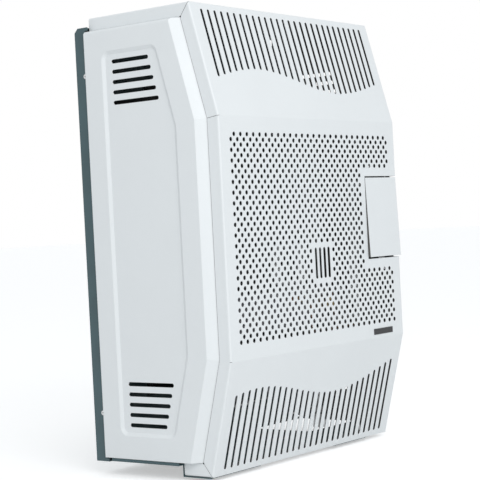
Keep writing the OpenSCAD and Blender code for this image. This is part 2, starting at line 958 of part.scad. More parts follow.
module cover_hooks() {
  color(frame_grey)
    for (side = [-1, 1])
      along_x(side * hook_x - hook_w / 2, side * hook_x + hook_w / 2) {
        translate([-top_gap - 2.5, frame_hh]) square([15.5, frame_t]);
        translate([-top_gap - 2.5, frame_hh]) square([frame_t, hh - sheet - frame_hh]);
        translate([-60, hh - sheet - frame_t]) square([60 - top_gap - 1, frame_t]);
      }
}

screw_y = front_y + setback + bottom_lip / 2;

// The pan that closes the bottom: its plate lies on the frame's flange, and its tabs go under the cover
module pan_blank() {
  z0 = frame_t - frame_hh;
  y0 = front_y + setback + bottom_lip + 1.2;
  y1 = -frame_d - 1;
  pan_hw = panel_hw - sheet;
  block([-pan_hw, y0, z0], [pan_hw, y1, z0 + frame_t]);
  block([-lap_x + 2, y1, z0], [lap_x - 2, -9, z0 + frame_t]);
  mirrored_x() block([pan_hw - frame_t, y0, z0], [pan_hw, y1, -panel_hh - 0.5]);
  // The step down, and the tabs from its foot
  along_x(-hw, hw) translate([y0, -hh - frame_t]) square([frame_t, z0 + 2 * frame_t + hh]);
  for (tab = [[-hw, left_tab_w], [right_tab_x, right_tab_w]])
    along_x(tab[0], tab[0] + tab[1])
      translate([screw_y - bottom_lip / 2 + 3, -hh - frame_t]) square([bottom_lip - 1.8, frame_t]);
}

module bottom_pan() {
  color(frame_grey)
    difference() {
      pan_blank();
      // Opening for the gas connection and for the air
      block([hw - 2 - port_w, -port_y, -hh], [hw - 2, -40, -frame_hh + 4]);
      for (side = [-1, 1])
        rod_z(-hh - 3, -hh + 1, screw_r + screw_fit, side * cover_screw_x, screw_y);
    }
}

cover_screw_z = -hh - frame_t;

module cover_screws() {
  color(zinc)
    for (side = [-1, 1])
      difference() {
        union() {
          rod_z(cover_screw_z - 2, cover_screw_z, 2 * screw_r, side * cover_screw_x, screw_y);
          rod_z(cover_screw_z, cover_screw_z + 9, screw_r, side * cover_screw_x, screw_y);
        }
        for (a = [0, 90])
          translate([side * cover_screw_x, screw_y, cover_screw_z - 2]) rotate(a)
            cube([5, 1, 2.4], center = true);
      }
}

// ---- Rear frame ----

panel_slot = 2;
lip_y = -24;
neck_y = 0.5 - panel_gap;

// The tray's back, its upper chamfer and its top and bottom flanges as [y, z]
module tray_section() {
  k = frame_t * tan(22.5);
  h = frame_hh;
  polygon([
    [0, h - frame_cut], [-frame_cut, h], [lip_y, h], [lip_y, h - frame_t],
    [-frame_cut - k, h - frame_t], [-frame_t, h - frame_cut - k],
    [-frame_t, frame_t - h], [lip_y, frame_t - h], [lip_y, -h], [0, -h]
  ]);
}

// The side flange as [y, z], notched where the side panel's flanges hook in
module flange_shape() {
  difference() {
    polygon([
      [0, frame_hh - frame_cut], [-frame_cut, frame_hh], [lip_y, frame_hh],
      [lip_y, panel_hh], [-frame_d, panel_hh],
      [-frame_d, -panel_hh], [lip_y, -panel_hh], [lip_y, -frame_hh],
      [0, -frame_hh]
    ]);
    for (side = [-1, 1])
      translate([neck_y - 20, side * (panel_hh - sheet / 2) - panel_slot])
        square([20, 2 * panel_slot]);
    for (side = [-1, 1])
      translate([-rivet_y, side * rivet_z]) circle(r = rivet_r + screw_fit);
  }
}

module rear_frame() {
  color(frame_grey)
    difference() {
      union() {
        along_x(-frame_hw, frame_hw) tray_section();
        mirrored_x() along_x(frame_hw - frame_t, frame_hw) flange_shape();
      }
      // Room for the cover's return and the panel's lap at the top
      mirrored_x()
        block([lap_x - 3, lip_y - 1, frame_hh - 4], [frame_hw - frame_t, neck_y, frame_hh + 1]);
      rod_y(-frame_t - 1, 1, air_r + 0.5, 0, flue_rise);
      for (x = [-1, 1])
        for (z = [-1, 1])
          rod_y(-frame_t - 1, 1, wall_hole_r, x * wall_hole_w / 2, z * wall_hole_h / 2);
    }
}

module frame_rivets() {
  color(zinc)
    mirrored_x()
      for (side = [-1, 1])
        difference() {
          union() {
            rod_x(frame_hw, frame_hw + 1.2, rivet_head_r, -rivet_y, side * rivet_z);
            rod_x(frame_hw - 2 * frame_t - 1, frame_hw, rivet_r, -rivet_y, side * rivet_z);
            rod_x(
              frame_hw - 2 * frame_t - 1.2,
              frame_hw - 2 * frame_t,
              rivet_r + 1,
              -rivet_y,
              side * rivet_z
            );
          }
          rod_x(frame_hw - 3, frame_hw + 2, rivet_r - 0.4, -rivet_y, side * rivet_z);
        }
}

// Brackets riveted inside the frame's flange, out to the inside of the panel's skin
module panel_brackets() {
  x0 = frame_hw - 2 * frame_t;
  x1 = panel_hw - sheet;
  color(frame_grey)
    mirrored_x()
      for (side = [-1, 1])
        translate([0, 0, side * rivet_z - bracket_w / 2])
          difference() {
            linear_extrude(bracket_w) {
              translate([x0, -frame_d - 6]) square([frame_t, frame_d - 2]);
              translate([x0, -frame_d - 6]) square([x1 - x0, frame_t]);
              translate([x1 - frame_t, -frame_d - 20]) square([frame_t, 14 + frame_t]);
            }
            rod_x(x0 - 1, x0 + 3, rivet_r + screw_fit, -rivet_y, bracket_w / 2);
          }
}

// ---- Heat exchanger ----

module chamber_wall_holes() {
  // Burner opening and its screws
  block(
    [plate_x - plate_w / 2 + plate_seat, chamber_front_y - 1, plate_z - plate_h / 2 + plate_seat],
    [plate_x + plate_w / 2 - plate_seat, chamber_front_y + 3, plate_z + plate_h / 2 - plate_seat]
  );
  at_burner_screws() rod_y(chamber_front_y - 1, chamber_front_y + 3, screw_r + screw_fit, 0, 0);
  // Window opening and its screws
  translate([sight_x - window_w / 2, chamber_front_y - 1, sight_z - window_h / 2])
    cube([window_w, 4, window_h]);
  at_window_screws() rod_y(chamber_front_y - 1, chamber_front_y + 3, screw_r + screw_fit, 0, 0);
}

module at_burner_screws() {
  for (x = [-1, 0, 1])
    for (z = [-1, 1])
      translate([
        plate_x + x * (plate_w / 2 - plate_seat / 2),
        0,
        plate_z + z * (plate_h / 2 - plate_seat / 2)
      ])
        children();
}

module at_window_screws() {
  for (x = [-1, 1])
    for (z = [-1, 1])
      translate([sight_x + x * (window_w / 2 + window_rim + 5), 0, sight_z + z * (window_h / 2 - 5)])
        children();
}

// One pressed rib of the front shell
module rib(r) {
  z0 = sight_z + window_h / 2 + 45;
  rod_z(z0, z0 + rib_h, r, 0, chamber_front_y);
  translate([0, chamber_front_y, z0]) sphere(r = r);
  translate([0, chamber_front_y, z0 + rib_h]) sphere(r = r);
}

module at_ribs() {
  for (k = [0:rib_count - 1])
    translate([chamber_x + (k - (rib_count - 1) / 2) * 45, 0, 0]) children();
}

// Half of the exchanger between two depths, open towards the seam
module half_shell(y0, y1, seam_front) {
  x0 = chamber_right - chamber_w;
  z1 = chamber_z + chamber_h;
  rim_y = seam_front ? y0 : y1 - chamber_t;
  difference() {
    union() {
      block([x0, y0, chamber_z], [chamber_right, y1, z1]);
      block(
        [x0 - chamber_rim, rim_y, chamber_z],
        [chamber_right + chamber_rim, rim_y + chamber_t, z1 + chamber_rim]
      );
    }
    block(
      [x0 + chamber_t, seam_front ? y0 - 1 : y0 + chamber_t, chamber_z + chamber_t],
      [chamber_right - chamber_t, seam_front ? y1 - chamber_t : y1 + 1, z1 - chamber_t]
    );
    at_chamber_bolts() rod_y(y0 - 1, y1 + 1, bolt_r + screw_fit, 0, 0);
    // Air inlet from the duct below
    block(
      [duct_port - duct_w, chamber_seam_y - 25, chamber_z - 1],
      [duct_w - duct_port, chamber_seam_y + 25, chamber_z + 2]
    );
  }
}

duct_port = duct_w / 2 + 8;

module at_chamber_bolts() {
  for (x = [-1, 1])
    for (z = chamber_bolt_z)
      translate([chamber_x + x * (chamber_w / 2 + chamber_rim / 2), 0, z]) children();
}

bracket_z = [chamber_z + 60, chamber_z + chamber_h - 50];
chamber_bolt_z = [for (z = bracket_z) each [z - 15, z + 15]];

module chamber_front() {
  color(dark_steel)
    difference() {
      union() {
        half_shell(chamber_front_y, chamber_seam_y, false);
        at_ribs()
          intersection() {
            rib(rib_r);
            block(
              [-rib_r, chamber_front_y - rib_r, chamber_z],
              [rib_r, chamber_front_y + chamber_t, chamber_z + chamber_h]
            );
          }
      }
      at_ribs() rib(rib_r - chamber_t);
      chamber_wall_holes();
    }
}

module chamber_back() {
  color(dark_steel)
    difference() {
      half_shell(chamber_seam_y, chamber_back_y, true);
      rod_y(chamber_back_y - 3, chamber_back_y + 1, flue_r + 0.1, 0, flue_rise);
    }
}

module baffle_plate() {
  z0 = burner_z + burner_r + 75;
  color(dark_steel)
    along_x(chamber_right - chamber_w + chamber_t, chamber_right - chamber_t)
      translate([chamber_back_y - chamber_t, z0]) {
        translate([-chamber_t, -15]) square([chamber_t, 15.5]);
        rotate(38) translate([-chamber_t, 0]) square([chamber_t, baffle_l]);
      }
}

module chamber_brackets() {
  back = chamber_seam_y + chamber_t;
  color(frame_grey)
    for (side = [-1, 1])
      for (z = bracket_z)
        translate([chamber_x, 0, z - 25])
          on_side(side)
            difference() {
              translate([chamber_w / 2, 0, 0])
                linear_extrude(50) {
                  translate([1, back]) square([chamber_rim - 1, frame_t]);
                  translate([chamber_rim - frame_t, back])
                    square([frame_t, -frame_t - back]);
                  translate([4, -2 * frame_t]) square([chamber_rim - 4, frame_t]);
                }
              for (z1 = [10, 40])
                rod_y(
                  back - 1,
                  back + 3,
                  bolt_r + screw_fit,
                  chamber_w / 2 + chamber_rim / 2,
                  z1
                );
            }
}

module chamber_bolts() {
  front = chamber_seam_y - chamber_t;
  back = chamber_seam_y + chamber_t + frame_t;
  color(zinc)
    at_chamber_bolts() {
      rotate([0, 30, 0]) hex_y(front - 3.5, front, bolt_hex_r, 0, 0);
      rod_y(front - 1, back + 6, bolt_r, 0, 0);
      rotate([0, 30, 0]) hex_y(back, back + 4, bolt_hex_r, 0, 0);
    }
}

module window_glass() {
  y1 = chamber_front_y - gasket_t;
  color([0.7, 0.8, 0.8, 0.5])
    translate([sight_x - window_w / 2 - window_rim, y1 - glass_t, sight_z - window_h / 2 - window_rim])
      cube([window_w + 2 * window_rim, glass_t, window_h + 2 * window_rim]);
}

module window_gasket() {
  color(ceramic)
    translate([sight_x, 0, sight_z])
      along_y(chamber_front_y - gasket_t, chamber_front_y)
        difference() {
          square([window_w + 2 * window_rim, window_h + 2 * window_rim], center = true);
          square([window_w, window_h], center = true);
        }
}

module window_frame() {
  w = window_w + 2 * window_rim + 20;
  h = window_h + 2 * window_rim;
  y1 = chamber_front_y - gasket_t - glass_t;
  color(zinc)
    difference() {
      translate([sight_x, 0, sight_z]) {
        along_y(y1 - chamber_t, y1)
          difference() {
            square([w, h], center = true);
            square([window_w + 3, window_h + 3], center = true);
          }
        mirrored_x()
          block([w / 2 - chamber_t, y1 - chamber_t, -h / 2], [w / 2, chamber_front_y, h / 2]);
      }
      at_window_screws() rod_y(y1 - 3, y1 + 1, screw_r + screw_fit, 0, 0);
    }
}

// A pan-head screw pointing along +Y, its head's underside at y
module pan_screw(y, l) {
  difference() {
    union() {
      rod_y(y - 2.4, y, 2 * screw_r, 0, 0);
      rod_y(y - 1, y + l, screw_r, 0, 0);
    }
    for (a = [0, 90])
      translate([0, y - 2.4, 0]) rotate([0, a, 0]) cube([4.6, 2, 0.9], center = true);
  }
}

module window_screws() {
  color(zinc)
    at_window_screws() pan_screw(chamber_front_y - gasket_t - glass_t - chamber_t, 10);
}

module heat_shield() {
  color(zinc) {
    block(
      [shield_x, -fascia_y + 8, chamber_z + 55],
      [shield_x + sheet, -frame_t, chamber_z + chamber_h - 25]
    );
    block(
      [shield_x, -frame_t - sheet, chamber_z + 55],
      [shield_x + 12, -frame_t, chamber_z + chamber_h - 25]
    );
  }
}

// ---- Burner ----

fit_z = plate_z + 13;
pilot_out_x = plate_x + 53;
couple_out_x = pilot_out_x - 14;
spark_out_x = pilot_out_x + 14;
burner_x1 = elbow_x - 20;
burner_y = chamber_seam_y;

module burner() {
  x0 = burner_x1 - burner_l;
  throat = burner_x1 - 12;
  color(zinc) {
    difference() {
      union() {
        rod_x(x0, burner_x1 - 24, burner_r, burner_y, burner_z);
        translate([burner_x1 - 24, burner_y, burner_z])
          rotate([0, 90, 0]) cylinder(r1 = burner_r, r2 = 8, h = 12);
        translate([throat, burner_y, burner_z])
          rotate([0, 90, 0]) cylinder(r1 = 8, r2 = 12, h = 12);
      }
      rod_x(x0 + 1.2, burner_x1 - 24, burner_r - 1.2, burner_y, burner_z);
      translate([burner_x1 - 24.01, burner_y, burner_z])
        rotate([0, 90, 0]) cylinder(r1 = burner_r - 1.2, r2 = 6.8, h = 12.02);
      translate([throat, burner_y, burner_z])
        rotate([0, 90, 0]) cylinder(r1 = 6.8, r2 = 11, h = 12.02);
      for (k = [0:flame_slots - 1])
        translate([x0 + 10 + k * (burner_l - 44) / (flame_slots - 1), burner_y, burner_z + burner_r])
          cube([1.2, 16, 7], center = true);
    }
    // Straps to the burner plate
    for (x = [x0 + 15, burner_x1 - 40])
      block(
        [x - 6, chamber_front_y - gasket_t, burner_z - 2],
        [x + 6, burner_y - burner_r + 0.6, burner_z + 2]
      );
  }
}

module burner_plate() {
  color(zinc)
    difference() {
      translate([plate_x - plate_w / 2, plate_y, plate_z - plate_h / 2])
        cube([plate_w, plate_t, plate_h]);
      at_burner_screws() rod_y(plate_y - 1, plate_y + plate_t + 1, screw_r + screw_fit, 0, 0);
      rod_y(plate_y - 1, plate_y + plate_t + 1, feed_r + 0.2, elbow_x, burner_z);
      for (x = [pilot_out_x, couple_out_x, spark_out_x])
        rod_y(plate_y - 1, plate_y + plate_t + 1, gland_r + 0.1, x, fit_z);
    }
}

module burner_gasket() {
  color(ceramic)
    difference() {
      translate([plate_x - plate_w / 2, plate_y + plate_t, plate_z - plate_h / 2])
        cube([plate_w, gasket_t, plate_h]);
      translate([
        plate_x - plate_w / 2 + plate_seat,
        plate_y,
        plate_z - plate_h / 2 + plate_seat
      ])
        cube([plate_w - 2 * plate_seat, plate_t + 3, plate_h - 2 * plate_seat]);
      at_burner_screws() rod_y(plate_y, plate_y + 5, screw_r + screw_fit, 0, 0);
    }
}

module burner_screws() {
  color(zinc) at_burner_screws() pan_screw(plate_y, 9);
}

module injector_elbow() {
  color(brass)
    difference() {
      union() {
        translate([elbow_x - 9, plate_y - 18, burner_z - 9]) cube(18);
        rod_y(plate_y - 1, burner_y, feed_r, elbow_x, burner_z);
        translate([elbow_x - 8, burner_y - 8, burner_z - 8]) cube(16);
      }
      rod_x(elbow_x, elbow_x + 10, feed_r - 2.5, plate_y - 9, burner_z);
      rod_y(plate_y - 9, burner_y, feed_r - 2.5, elbow_x, burner_z);
      rod_x(elbow_x - 10, elbow_x, feed_r - 2.5, burner_y, burner_z);
    }
}

module injector() {
  color(brass)
    difference() {
      union() {
        translate([elbow_x - 12, burner_y, burner_z])
          rotate([0, 90, 0]) cylinder(r = 6, h = 4, $fn = 6);
        rod_x(elbow_x - 17, elbow_x - 11, 3.5, burner_y, burner_z);
        translate([elbow_x - 19.5, burner_y, burner_z])
          rotate([0, 90, 0]) cylinder(r1 = 1.5, r2 = 3.5, h = 2.5);
      }
      rod_x(elbow_x - 20, elbow_x - 7, 0.8, burner_y, burner_z);
    }
}

// A fitting through the burner plate: a hexagon outside and a barrel inside
module gland(x, l) {
  hex_y(plate_y - 6, plate_y, gland_r + 2, x, fit_z);
  rod_y(plate_y - 1, plate_y + l, gland_r, x, fit_z);
}

module pilot_burner() {
  color(brass)
    difference() {
      union() {
        gland(pilot_out_x, 22);
        rod_z(fit_z - 4, fit_z + 13, 5, pilot_out_x, plate_y + 25);
      }
      rod_z(fit_z + 2, fit_z + 14, 3.8, pilot_out_x, plate_y + 25);
      rod_x(pilot_out_x - 6, pilot_out_x + 6, 1.5, plate_y + 25, fit_z + 8);
    }
}

module thermocouple() {
  color(copper) {
    gland(couple_out_x, 14);
    rod_y(plate_y + 13, plate_y + 24, 1.8, couple_out_x, fit_z);
    translate([couple_out_x, plate_y + 24, fit_z]) sphere(r = 1.8);
    pipe([
      [pilot_x, couple_y, valve_bottom],
      [pilot_x, couple_y, fit_z - 46],
      [pilot_x, plate_y - 31, fit_z - 46],
      [couple_out_x, plate_y - 31, fit_z - 46],
      [couple_out_x, plate_y - 31, fit_z],
      [couple_out_x, plate_y - 5, fit_z]
    ], lead_r, 6);
  }
}

module ignition_electrode() {
  color(ceramic) {
    rod_y(plate_y - 12, plate_y + 18, gland_r, spark_out_x, fit_z);
    hex_y(plate_y - 5, plate_y, gland_r + 2, spark_out_x, fit_z);
  }
  color(zinc) rod_y(plate_y + 17, plate_y + 27, 0.8, spark_out_x, fit_z);
}

module ignition_lead() {
  y0 = valve_back + 6;
  color(black) {
    pipe([
      [ctrl_x, y0, igniter_z],
      [ctrl_x, y0 + 10, igniter_z],
      [ctrl_x, y0 + 10, fit_z - 60],
      [ctrl_x, plate_y - 38, fit_z - 60],
      [spark_out_x, plate_y - 38, fit_z - 60],
      [spark_out_x, plate_y - 38, fit_z],
      [spark_out_x, plate_y - 12, fit_z]
    ], spark_r, 4);
    // Boots on the terminal and on the electrode
    rod_y(y0, y0 + 5, spark_r + 1.2, ctrl_x, igniter_z);
    rod_y(plate_y - 24, plate_y - 12, spark_r + 1.2, spark_out_x, fit_z);
  }
}

module pilot_pipe() {
  color(zinc)
    pipe([
      [pilot_x, pilot_y, valve_bottom],
      [pilot_x, pilot_y, fit_z - 32],
      [pilot_x, plate_y - 24, fit_z - 32],
      [pilot_out_x, plate_y - 24, fit_z - 32],
      [pilot_out_x, plate_y - 24, fit_z],
      [pilot_out_x, plate_y - 6, fit_z]
    ], pilot_r, 6);
}

module burner_feed_pipe() {
  color(zinc)
    pipe([
      [feed_x, feed_y, valve_bottom],
      [feed_x, feed_y, burner_z],
      [elbow_x + 9, feed_y, burner_z]
    ], feed_r, 14);
}

// ---- Gas supply ----

stub_top = 25 - frame_hh;
stub_end = stub_top - 32;
// Length of thread that a union screws on to
stub_thread = 16;
// Depth and width of the groove behind the thread
groove_d = 0.4;
groove_w = 1;

module gas_inlet_pipe() {
  color(zinc)
    pipe([
      [inlet_x, inlet_y, valve_bottom],
      [inlet_x, inlet_y, fit_z - 54],
      [inlet_x, -stub_y, fit_z - 54],
      [inlet_x, -stub_y, stub_top - 6]
    ], inlet_r, 16);
}

module inlet_stub() {
  color(brass)
    difference() {
      union() {
        hex_z(stub_top - 8, stub_top, stub_r + 4, inlet_x, -stub_y);
        rod_z(stub_end, stub_top - 7, stub_r, inlet_x, -stub_y);
      }
      rod_z(stub_top - 6, stub_top + 1, inlet_r + 0.1, inlet_x, -stub_y);
      rod_z(stub_end - 1, stub_top - 5, inlet_r - 0.8, inlet_x, -stub_y);
      // Groove between the locknut's thread and the union's
      difference() {
        rod_z(stub_end + stub_thread, stub_end + stub_thread + groove_w, stub_r + 1, inlet_x, -stub_y);
        rod_z(stub_end, stub_top, stub_r - groove_d, inlet_x, -stub_y);
      }
    }
}

module inlet_bracket() {
  z0 = stub_top - 8 - frame_t;
  color(frame_grey)
    difference() {
      union() {
        block([inlet_x - 16, -stub_y - 17, z0], [inlet_x + 16, -frame_t, z0 + frame_t]);
        block([inlet_x - 16, -2 * frame_t, z0], [inlet_x + 16, -frame_t, z0 + 24]);
      }
      rod_z(z0 - 1, z0 + 3, stub_r + 0.2, inlet_x, -stub_y);
    }
}

// A nut on a pipe under the valve
module valve_nut(x, y, r, bore) {
  difference() {
    hex_z(valve_bottom - 10, valve_bottom, r, x, y);
    rod_z(valve_bottom - 11, valve_bottom + 1, bore + 0.1, x, y);
  }
}

module pipe_nuts() {
  color(brass) {
    valve_nut(inlet_x, inlet_y, 10, inlet_r);
    valve_nut(feed_x, feed_y, 8.5, feed_r);
    valve_nut(pilot_x, pilot_y, 5.5, pilot_r);
    valve_nut(pilot_x, couple_y, 5, lead_r);
    valve_nut(bulb_x, bulb_y, 4.5, lead_r);
    // Locknut under the inlet bracket
    difference() {
      hex_z(stub_top - 14.5, stub_top - 8 - frame_t, stub_r + 4, inlet_x, -stub_y);
      rod_z(stub_top - 20, stub_top, stub_r + 0.1, inlet_x, -stub_y);
    }
  }
}

// ---- Controls ----

module control_fascia() {
  x0 = ctrl_x - fascia_w / 2;
  z0 = flap_bottom + 3;
  z1 = flap_top - 2;
  color(panel_white)
    difference() {
      union() {
        block([x0, -fascia_y, z0], [x0 + fascia_w, nose_y, z1]);
        for (x = [x0, x0 + fascia_w - frame_t])
          block([x, -fascia_y, z0], [x + frame_t, valve_back, z1]);
      }
      rod_y(-fascia_y - 1, nose_y + 1, sleeve_r + 1, ctrl_x, knob_z);
      rod_y(-fascia_y - 1, nose_y + 1, igniter_r + 0.2, ctrl_x, igniter_z);
    }
}

module dial_plate() {
  color(zinc)
    difference() {
      rod_y(-fascia_y - 0.8, -fascia_y, dial_r, ctrl_x, knob_z);
      rod_y(-fascia_y - 2, -fascia_y + 1, sleeve_r + 1, ctrl_x, knob_z);
    }
}

// A round shaft with a flat, as [x, z]
module d_shape(r, flat) {
  intersection() {
    circle(r = r);
    translate([-r, -r]) square([2 * r, r + flat]);
  }
}

module control_knob() {
  front = knob_back - knob_l;
  color(black)
    translate([ctrl_x, 0, knob_z])
      difference() {
        union() {
          rod_y(knob_back - 5, knob_back, knob_r, 0, 0);
          translate([0, front + 4, 0])
            rotate([-90, 0, 0]) cylinder(r1 = knob_r - 5, r2 = knob_r - 3, h = knob_l - 8);
          // Grip bar
          along_y(front, knob_back - 5)
            translate([-4.5, 4 - knob_r]) square([9, 2 * knob_r - 8]);
        }
        rod_y(knob_back - 6, knob_back + 1, knob_r / 2 + 0.5, 0, 0);
        along_y(front + 4, knob_back) d_shape(spindle_r, spindle_r - 0.5);
        // Pointer groove on the grip bar
        translate([0, front, knob_r / 2 + 1]) cube([1.2, 1.2, knob_r - 6], center = true);
      }
}

module valve_spindle() {
  color(zinc)
    translate([ctrl_x, 0, knob_z])
      along_y(knob_back - knob_l + 4, valve_front + 11.5)
        d_shape(spindle_r, spindle_r - 0.5);
}

module selector_sleeve() {
  color(brass)
    translate([ctrl_x, 0, knob_z])
      difference() {
        union() {
          rod_y(sleeve_front, valve_front + 9, sleeve_r, 0, 0);
          rod_y(sleeve_front, sleeve_front + 1.8, sleeve_r + 2.5, 0, 0);
        }
        along_y(sleeve_front - 1, valve_front + 10)
          d_shape(spindle_r + running, spindle_r - 0.5 + running);
      }
}

module knob_spring() {
  color(zinc)
    translate([ctrl_x, 0, knob_z]) coil(4.8, knob_back - 5.6, 7.7, 5, 0.35);
}

module gas_valve() {
  x0 = ctrl_x - valve_w / 2;
  color([0.6, 0.61, 0.62])
    difference() {
      union() {
        block([x0, valve_front, valve_bottom], [x0 + valve_w, valve_back, valve_bottom + valve_h]);
        rod_y(nose_y, valve_front + 1, sleeve_r + 4, ctrl_x, knob_z);
        // Regulator cap and thermostat boss
        rod_z(
          valve_bottom + valve_h - 1,
          valve_bottom + valve_h + 5,
          14,
          ctrl_x + 14,
          valve_back - 24
        );
        rod_z(
          valve_bottom + valve_h - 1,
          valve_bottom + valve_h + 3,
          8,
          ctrl_x - 20,
          valve_back - 24
        );
      }
      rod_y(nose_y - 1, valve_front + 11, sleeve_r + running, ctrl_x, knob_z);
      rod_y(valve_front + 10, valve_front + 23, spindle_r + 1, ctrl_x, knob_z);
      at_valve_screws() rod_y(valve_back - 9, valve_back + 1, screw_r + screw_fit, 0, 0);
    }
}

module at_valve_screws() {
  for (x = [-1, 1])
    for (z = [-1, 1])
      translate([ctrl_x + x * (valve_w / 2 - 8), 0, knob_z + z * (valve_h / 2 - 8)]) children();
}

module valve_bracket() {
  x0 = ctrl_x - fascia_w / 2;
  x1 = ctrl_x + fascia_w / 2;
  z0 = flap_bottom + 3;
  z1 = flap_top - 2;
  color(frame_grey)
    difference() {
      union() {
        block([x0, valve_back, z0], [x1, valve_back + frame_t, z1]);
        block([x1 - frame_t, valve_back, z0], [x1, -frame_t, z1]);
        block([x1 - 22, -2 * frame_t, z0], [x1, -frame_t, z1]);
      }
      rod_y(valve_back - 1, valve_back + 3, igniter_r - 1, ctrl_x, igniter_z);
      at_valve_screws() rod_y(valve_back - 1, valve_back + 3, screw_r + screw_fit, 0, 0);
    }
}

module valve_screws() {
  color(zinc)
    at_valve_screws()
      translate([0, valve_back + frame_t, 0]) rotate([0, 0, 180]) pan_screw(0, 9);
}

module igniter_body() {
  color(black)
    difference() {
      union() {
        rod_y(-fascia_y - 2, -fascia_y, igniter_r + 2, ctrl_x, igniter_z);
        rod_y(-fascia_y - 1, valve_back - 10, igniter_r, ctrl_x, igniter_z);
      }
      rod_y(-fascia_y - 3, -fascia_y + 23, button_r + 0.2, ctrl_x, igniter_z);
    }
  color(ceramic) rod_y(valve_back - 11, valve_back + 6, 3.5, ctrl_x, igniter_z);
}

module igniter_nut() {
  color(zinc)
    difference() {
      hex_y(nose_y, nose_y + 4, igniter_r + 4, ctrl_x, igniter_z);
      rod_y(nose_y - 1, nose_y + 5, igniter_r + 0.1, ctrl_x, igniter_z);
    }
}

module igniter_button() {
  y0 = -fascia_y - 10;
  color([0.75, 0.1, 0.08]) {
    rod_y(y0 + 1.5, -fascia_y + 11, button_r, ctrl_x, igniter_z);
    translate([0, y0 + 1.5, 0])
      rod_y(-1.5, 0, button_r - 1.5, ctrl_x, igniter_z);
    // Rounded edge of the cap
    translate([ctrl_x, y0 + 1.5, igniter_z])
      rotate([90, 0, 0])
        rotate_extrude() translate([button_r - 1.5, 0]) circle(r = 1.5);
  }
}

module igniter_spring() {
  color(zinc)
    translate([ctrl_x, 0, igniter_z]) coil(4.4, -fascia_y + 11.8, 10.4, 6, 0.4);
}

// ---- Flue and air ----

box_top = flue_rise + air_r + 10;

module air_box() {
  y0 = -frame_t - box_d;
  color(zinc)
    difference() {
      union() {
        block([-box_w / 2, y0, box_bottom], [box_w / 2, -frame_t, box_top]);
        block(
          [-box_w / 2 - box_rim, -frame_t - air_t, box_bottom - box_rim],
          [box_w / 2 + box_rim, -frame_t, box_top + box_rim]
        );
      }
      block(
        [air_t - box_w / 2, y0 + air_t, box_bottom + air_t],
        [box_w / 2 - air_t, 0, box_top - air_t]
      );
      rod_y(y0 - 1, y0 + 3, flue_r + 0.3, 0, flue_rise);
      block(
        [6 - duct_w / 2, y0 - 1, duct_z + 4],
        [duct_w / 2 - 6, y0 + 3, chamber_z - 4]
      );
    }
}

module intake_duct() {
  y1 = -frame_t - box_d;
  color(zinc)
    difference() {
      block([-duct_w / 2, chamber_seam_y - 32, duct_z], [duct_w / 2, y1, chamber_z]);
      block(
        [air_t - duct_w / 2, chamber_seam_y - 32 + air_t, duct_z + air_t],
        [duct_w / 2 - air_t, y1 + 1, chamber_z - air_t]
      );
      block(
        [duct_port - duct_w, chamber_seam_y - 25, chamber_z - 3],
        [duct_w - duct_port, chamber_seam_y + 25, chamber_z + 1]
      );
    }
}

// Where the spigots' beads start behind the wall plane
bead_y = 1;

// A spigot's wall, with an inward rolled bead between its root and the end that takes the pipe
module spigot(y0, y1, r, t) {
  difference() {
    rod_y(y0, y1, r, 0, flue_rise);
    difference() {
      rod_y(y0 - 1, y1 + 1, r - t, 0, flue_rise);
      difference() {
        rod_y(bead_y - t, bead_y + bead_w + t, r, 0, flue_rise);
        rod_y(y0 - 2, y1 + 2, r - bead_d - t, 0, flue_rise);
      }
    }
    difference() {
      rod_y(bead_y, bead_y + bead_w, r + 1, 0, flue_rise);
      rod_y(bead_y - 1, bead_y + bead_w + 1, r - bead_d, 0, flue_rise);
    }
  }
}

module air_spigot() {
  color(zinc) {
    spigot(-frame_t - air_t, air_out, air_r, air_t);
    difference() {
      rod_y(-frame_t - air_t, -frame_t, air_r + 5, 0, flue_rise);
      rod_y(-frame_t - 3, 1, air_r - 0.1, 0, flue_rise);
    }
  }
}

module flue_spigot() {
  color(zinc) {
    spigot(chamber_back_y - chamber_t - 2, flue_out, flue_r, flue_t);
    difference() {
      rod_y(chamber_back_y, chamber_back_y + flue_t, flue_r + 10, 0, flue_rise);
      rod_y(chamber_back_y - 1, chamber_back_y + 3, flue_r - 0.1, 0, flue_rise);
    }
  }
}

// ---- Thermostat ----

bulb_y0 = -20;
bulb_x0 = 30;

module thermostat_bulb() {
  color(copper) {
    rod_x(bulb_x0, bulb_x0 + bulb_l, bulb_r, bulb_y0, lower_bulb_z);
    pipe([
      [bulb_x, bulb_y, valve_bottom],
      [bulb_x, bulb_y, lower_bulb_z + 32],
      [bulb_x, bulb_y0, lower_bulb_z + 32],
      [bulb_x, bulb_y0, lower_bulb_z],
      [bulb_x0 + bulb_l - 1, bulb_y0, lower_bulb_z]
    ], lead_r, 8);
  }
}

module bulb_clips() {
  color(zinc)
    for (x = [bulb_x0 + 12, bulb_x0 + bulb_l - 20])
      difference() {
        union() {
          rod_x(x, x + 8, bulb_r + 1.2, bulb_y0, lower_bulb_z);
          block([x, bulb_y0 + 3, lower_bulb_z - 1], [x + 8, -frame_t, lower_bulb_z + 1]);
          block([x, -frame_t - 1, lower_bulb_z - 9], [x + 8, -frame_t, lower_bulb_z + 9]);
        }
        rod_x(x - 1, x + 9, bulb_r + 0.1, bulb_y0, lower_bulb_z);
      }
}

